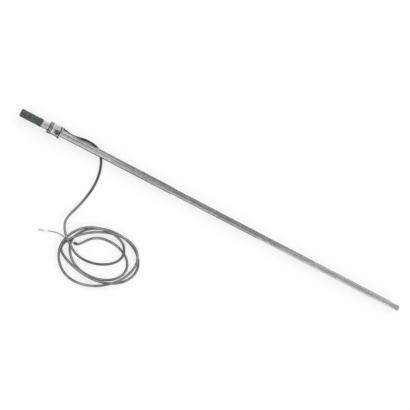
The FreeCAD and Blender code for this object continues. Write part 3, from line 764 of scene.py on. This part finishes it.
def soft_rubber(name, dark, light):
    """Plain moulded rubber with a pebbled skin."""
    material, tree, shader = new_material(name, Roughness=0.6)
    clouds = noise(tree, place_mm(tree), RUBBER_CLOUD_MM)
    pebbles = noise(tree, place_mm(tree), PEBBLE_MM)
    finish_with(tree, shader, Base_Color=ramp(tree, clouds, (0.35, dark), (0.65, light)),
                Normal=relief(tree, pebbles, PEBBLE_DEPTH_MM))
    return material


# %% [markdown]
# The bush at the flame end is fired ceramic, smoked grey by the flame; the insulators inside are still
# white. Shrink sleeve and ferrule collar are plastic, glossier, with a faint orange-peel skin.

# %% Ceramic and plastic
FIRING_CLOUD_MM = 1.5
FIRED_GRAIN_MM = 0.2
FIRED_GRAIN_DEPTH_MM = 0.03
PLASTIC_CLOUD_MM = 3.0
PEEL_MM = 0.4
PEEL_DEPTH_MM = 0.02


def fired_ceramic(name, dark, light):
    """Fired ceramic: matt, grainy, with faint firing clouds."""
    material, tree, shader = new_material(name, Roughness=0.55)
    clouds = noise(tree, place_mm(tree), FIRING_CLOUD_MM)
    grain = noise(tree, place_mm(tree), FIRED_GRAIN_MM)
    finish_with(tree, shader, Base_Color=ramp(tree, clouds, (0.35, dark), (0.65, light)),
                Normal=relief(tree, grain, FIRED_GRAIN_DEPTH_MM))
    return material


def moulded_plastic(name, dark, light, roughness):
    """Moulded or shrunk plastic with a faint orange-peel skin."""
    material, tree, shader = new_material(name, Roughness=roughness)
    clouds = noise(tree, place_mm(tree), PLASTIC_CLOUD_MM)
    peel = noise(tree, place_mm(tree), PEEL_MM)
    finish_with(tree, shader, Base_Color=ramp(tree, clouds, (0.35, dark), (0.65, light)),
                Normal=relief(tree, peel, PEEL_DEPTH_MM))
    return material


# %% [markdown]
# The braid reads the `weave` and `upper` numbers of its mesh: painted shade darkens the gaps, so the
# strands are lighter where they stand proud, and the upper family is painted lighter than the lower, a
# painted stand-in for how differently they catch the light. `from_head` is the distance along the lead
# in metres: the lead is darker near the head and at the first turn. The top is painted paler than the
# flanks: a painted highlight on top and painted shade on the flanks.

# %% Braid
PATCH_MM = 14.0


def woven_jacket():
    """Woven grey jacket with a slight sheen: painted shade in the gaps and on the flanks, painted
    highlight on top, darker near the head.
    """
    material, tree, shader = new_material("woven_grey_jacket", Metallic=0.3, Roughness=0.45)
    weave = add(tree, "ShaderNodeAttribute", {"attribute_name": "weave"}).outputs["Fac"]
    upper = add(tree, "ShaderNodeAttribute", {"attribute_name": "upper"}).outputs["Fac"]
    place = add(tree, "ShaderNodeAttribute", {"attribute_name": "from_head"}).outputs["Fac"]
    patches = noise(tree, place_mm(tree), PATCH_MM, detail=2.0)
    # Painted shade: dark in the gaps between strands, pale on the proud strands.
    strands = ramp(tree, weave, (0.35, "#454645"), (0.70, "#A2A3A1"), (0.95, "#CACBC8"))
    # Painted light: the upper family of strands is lighter than the lower.
    families = ramp(tree, upper, (0.0, "#CFCFCD"), (1.0, "#FFFFFF"))
    wear = ramp(tree, patches, (0.38, "#CDCECD"), (0.62, "#FFFFFF"))
    # The lead is darker from the head to 0.15 m along it, and again from 0.19 to 0.33 m.
    darker_stretches = ramp(tree, place, (0.05, "#868685"), (0.11, "#A6A6A4"), (0.15, "#FFFFFF"),
                  (0.19, "#FFFFFF"), (0.22, "#C2C2C0"), (0.28, "#C8C8C6"), (0.33, "#FFFFFF"))
    # Painted light: the jacket is paler where it faces up, with painted shade darker on its flanks.
    level = add(tree, "ShaderNodeSeparateXYZ",
                Vector=add(tree, "ShaderNodeNewGeometry").outputs["Normal"]).outputs["Z"]
    painted_shading = ramp(tree, level, (0.10, "#6A6A69"), (0.55, "#B4B4B3"), (0.90, "#FFFFFF"))
    color = multiplied(tree, multiplied(tree, strands, families), multiplied(tree, wear, darker_stretches))
    color = multiplied(tree, color, painted_shading)
    finish_with(tree, shader, Base_Color=color)
    return material


# %% [markdown]
# Each finish goes on the pieces that are made of it, seen or not, so that none is left plain.

# %% Finishes on their pieces
earlier_materials = len(bpy.data.materials)
paint(drawn_stainless(), "sleeve_tube", "stem_tube")
paint(plated("black_oxide_steel", "#7A7B7C", "#A6A7A7", 0.32), "gland_nut")
paint(plated("dark_oxide_screw", "#6A6A6C", "#828284", 0.32), "clamp_screw")
paint(plated("bright_zinc_plate", "#DADAD8", "#EDEDEB", 0.20), "thrust_ring", "screw_washer")
paint(plated("satin_nickel_plate", "#B8B8B6", "#DADAD8", 0.25), "clamp_body")
paint(plated("turned_brass", "#B5975A", "#C7A96A", 0.30), "olive_ring", "splice_barrel")
paint(plated("tinned_copper", "#C2C2C4", "#DCDCDA", 0.35), "lead_core", "ferrule_pin", wire)
paint(plated("oxidised_electrode_alloy", "#4A4947", "#666460", 0.45), "electrode_rod")
paint(grip_rubber(), cap)
paint(soft_rubber("red_silicone_rubber", "#7A4038", "#8C4C42"), "end_plug")
paint(soft_rubber("black_grommet_rubber", "#1C1D1D", "#2A2B2B"), "cable_grommet")
paint(fired_ceramic("smoked_tip_ceramic", "#8E8B8C", "#A6A3A4"), "tip_bush")
insulators = sorted(name for name in NODES if name.startswith("insulator_tube"))
paint(fired_ceramic("white_insulator_ceramic", "#D8D3C8", "#E6E2D9"), *insulators)
paint(moulded_plastic("dark_shrink_sleeve", "#474847", "#606160", 0.45),
      "jacket_sleeve", "splice_sleeve")
paint(moulded_plastic("white_polypropylene", "#DFDFDC", "#EFEFEC", 0.35),
      "core_insulation", "ferrule_collar")
paint(woven_jacket(), lead)
print("%d finishes" % (len(bpy.data.materials) - earlier_materials))

# %% [markdown]
# A wide white sheet keeps the soft contact shadows and fills the view. To the camera it is partly white
# light, so the sheet stays white and the shadows stay faint; every other ray meets plain white paper.

# %% The table
FLOOR_HALF = 3.0
SHEET_GLOW = 0.65


def flat_sheet(name, corners):
    """Flat quadrilateral for the studio."""
    mesh = bpy.data.meshes.new(name)
    mesh.from_pydata(corners, [], [(0, 1, 2, 3)])
    sheet = bpy.data.objects.new(name, mesh)
    bpy.context.scene.collection.objects.link(sheet)
    return sheet


floor = flat_sheet("floor", [(-FLOOR_HALF, -FLOOR_HALF, 0), (FLOOR_HALF, -FLOOR_HALF, 0),
                             (FLOOR_HALF, FLOOR_HALF, 0), (-FLOOR_HALF, FLOOR_HALF, 0)])
white_sheet, tree, shader = new_material("white_paper_sheet", Roughness=0.9,
                                         Base_Color=linear("#FEFEFE"))
floor.data.materials.append(white_sheet)
eye = add(tree, "ShaderNodeLightPath").outputs["Is Camera Ray"]
glow = add(tree, "ShaderNodeMath", {"operation": "MULTIPLY"})
tree.links.new(eye, glow.inputs[0])
glow.inputs[1].default_value = SHEET_GLOW
white_light = add(tree, "ShaderNodeEmission", Color=linear("#FFFFFF"), Strength=1.0)
blend = add(tree, "ShaderNodeMixShader", Fac=glow.outputs["Value"])
tree.links.new(shader.outputs["BSDF"], blend.inputs[1])
tree.links.new(white_light.outputs["Emission"], blend.inputs[2])
tree.links.new(blend.outputs["Shader"], tree.nodes["Material Output"].inputs["Surface"])
print("sheet %.0f m wide" % (2 * FLOOR_HALF))

# %% [markdown]
# Polished tube mirrors its surroundings, and on a white table its edges would melt away. As in a
# product studio, cards draw them: two strips that lie on the table along the stem and two that stand
# further off give it dark edges, a grey ceiling gives it its tone from the head to the flame end, and
# a narrow strip under the ceiling draws the line along the top of the sleeve. First come their sizes
# in metres: the tones of the ceiling are (place along the stem, colour) pairs.

# %% The cards' sizes
STRIP_INNER = 0.004
STRIP_OUTER = 0.030
STRIP_HEIGHT = 0.0002
STRIP_NEAR_END = 0.06
HEAD_END = -0.230
STANDING_DISTANCE = 0.5
FAR_CARD = {"x_low": -0.13, "x_high": 0.40, "height": 0.22}
NEAR_CARD = {"x_low": 0.00, "x_high": 0.33, "height": 0.12}
CEILING_LOW = -1.6
CEILING_HIGH = 2.6
CEILING_HEIGHT = 1.1
CEILING_HALF = 1.8
LINE_HEIGHT = 1.05
LINE_HALF = 0.16
LINE_END = 0.15
CEILING_TONES = ((-0.03, "#FFFFFF"), (0.02, "#F4F4F4"), (0.11, "#E8E8E8"), (0.26, "#B9B9B9"),
                 (0.34, "#989898"), (0.49, "#9C9C9C"), (0.60, "#C1C1C1"), (0.75, "#D1D1D1"),
                 (0.90, "#D1D1D1"), (0.98, "#BDBDBD"))


def card_corners(x_low, x_high, y_low, y_high, z_low, z_high):
    """Corners of a card whose long side runs along the stem."""
    return [(x_low, y_low, z_low), (x_high, y_low, z_low),
            (x_high, y_high, z_high), (x_low, y_high, z_high)]


def standing_corners(distance, card):
    """Corners of a card that stands on the table this far to the side of the stem."""
    return card_corners(card["x_low"], card["x_high"], distance, distance,
                        STRIP_HEIGHT, card["height"])


# %% [markdown]
# Dark and mid grey paper do for the cards. The ceiling glows instead, because its tone has to change
# smoothly along the stem: a ramp reads how far along it a point is.

# %% The cards' finishes
dark_card, _, _ = new_material("dark_card", Roughness=0.9, Base_Color=linear("#242424"))
grey_card, _, _ = new_material("grey_card", Roughness=0.9, Base_Color=linear("#808080"))
grey_ceiling = bpy.data.materials.new("grey_ceiling")
grey_ceiling.use_nodes = True
tree = grey_ceiling.node_tree
tree.nodes.remove(tree.nodes["Principled BSDF"])
along = add(tree, "ShaderNodeSeparateXYZ",
            Vector=add(tree, "ShaderNodeTexCoord").outputs["Object"]).outputs["X"]
share = add(tree, "ShaderNodeMapRange", Value=along, From_Min=CEILING_LOW, From_Max=CEILING_HIGH)
span = CEILING_HIGH - CEILING_LOW
tones = [((station - CEILING_LOW) / span, code) for station, code in CEILING_TONES]
tone = add(tree, "ShaderNodeEmission", Color=ramp(tree, share.outputs["Result"], *tones))
tree.links.new(tone.outputs["Emission"], tree.nodes["Material Output"].inputs["Surface"])

# %% [markdown]
# The cards are put up last. Only reflections see them: to the camera, to soft light and to shadows they
# aren't there, so none of them lights or darkens the probe.

# %% What the polished tube mirrors
stem_end = float(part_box("stem_tube")[1][0])
strip_near = flat_sheet("strip_near", card_corners(float(sleeve_low[0]), STRIP_NEAR_END,
                                                   -STRIP_OUTER, -STRIP_INNER,
                                                   STRIP_HEIGHT, STRIP_HEIGHT))
strip_far = flat_sheet("strip_far", card_corners(HEAD_END, stem_end, STRIP_INNER, STRIP_OUTER,
                                                 STRIP_HEIGHT, STRIP_HEIGHT))
standing_far = flat_sheet("standing_far", standing_corners(STANDING_DISTANCE, FAR_CARD))
standing_near = flat_sheet("standing_near", standing_corners(-STANDING_DISTANCE, NEAR_CARD))
top_line = flat_sheet("top_line", card_corners(CEILING_LOW, LINE_END, -LINE_HALF, LINE_HALF,
                                               LINE_HEIGHT, LINE_HEIGHT))
ceiling = flat_sheet("ceiling", card_corners(CEILING_LOW, CEILING_HIGH, -CEILING_HALF, CEILING_HALF,
                                             CEILING_HEIGHT, CEILING_HEIGHT))
for card in (strip_far, standing_far, top_line):
    card.data.materials.append(dark_card)
for card in (strip_near, standing_near):
    card.data.materials.append(grey_card)
ceiling.data.materials.append(grey_ceiling)
cards = (strip_near, strip_far, standing_near, standing_far, top_line, ceiling)
for card in cards:
    card.visible_camera = False
    card.visible_diffuse = False
    card.visible_transmission = False
    card.visible_shadow = False
print("%d cards round the tube" % len(cards))

# %% [markdown]
# Two long softboxes lie along the stem, one each side, and give the shapes a soft light side. They are
# left out of reflections, where their edges would cut the tube's long streaks.

# %% Lamps
SOFTBOX_LENGTH = 2.4
SOFTBOX_WIDTH = 1.2
SOFTBOX_ASIDE = 1.0
SOFTBOX_HEIGHT = 0.9
FAR_POWER = 7.0
NEAR_POWER = 4.0


def add_softbox(name, place, power):
    """Long area lamp parallel to the stem that looks at its middle."""
    data = bpy.data.lights.new(name, "AREA")
    data.shape = "RECTANGLE"
    data.size = SOFTBOX_LENGTH
    data.size_y = SOFTBOX_WIDTH
    data.energy = power
    lamp = bpy.data.objects.new(name, data)
    lamp.visible_glossy = False
    backward = Vector(place).normalized()
    lengthwise = Vector((1.0, 0.0, 0.0))
    lamp.matrix_world = Matrix.Translation(place) @ Matrix(
        (lengthwise, backward.cross(lengthwise), backward)).transposed().to_4x4()
    bpy.context.scene.collection.objects.link(lamp)


add_softbox("softbox_far", (0.0, SOFTBOX_ASIDE, SOFTBOX_HEIGHT), FAR_POWER)
add_softbox("softbox_near", (0.0, -SOFTBOX_ASIDE, SOFTBOX_HEIGHT), NEAR_POWER)
print("softboxes %.0f W and %.0f W" % (FAR_POWER, NEAR_POWER))

# %% [markdown]
# The world gives an even fill that lights the probe from all sides. The camera, mirrors and glass see
# it as plain white, whatever the fill is, so the background stays white and metal shows that white.

# %% World
WORLD_FILL = 0.80
WORLD_SEEN = 1.0

world = bpy.data.worlds.new("studio")
world.use_nodes = True
bpy.context.scene.world = world
sky = world.node_tree
background = sky.nodes["Background"]
background.inputs["Color"].default_value = linear("#FFFFFF")
ray = add(sky, "ShaderNodeLightPath")
mirrored = add(sky, "ShaderNodeMath", {"operation": "MAXIMUM"})
sky.links.new(ray.outputs["Is Glossy Ray"], mirrored.inputs[0])
sky.links.new(ray.outputs["Is Transmission Ray"], mirrored.inputs[1])
seen = add(sky, "ShaderNodeMath", {"operation": "MAXIMUM"})
sky.links.new(ray.outputs["Is Camera Ray"], seen.inputs[0])
sky.links.new(mirrored.outputs["Value"], seen.inputs[1])
strength = add(sky, "ShaderNodeMapRange", Value=seen.outputs["Value"],
               To_Min=WORLD_FILL, To_Max=WORLD_SEEN)
sky.links.new(strength.outputs["Result"], background.inputs["Strength"])

bpy.context.scene.view_settings.view_transform = "Standard"
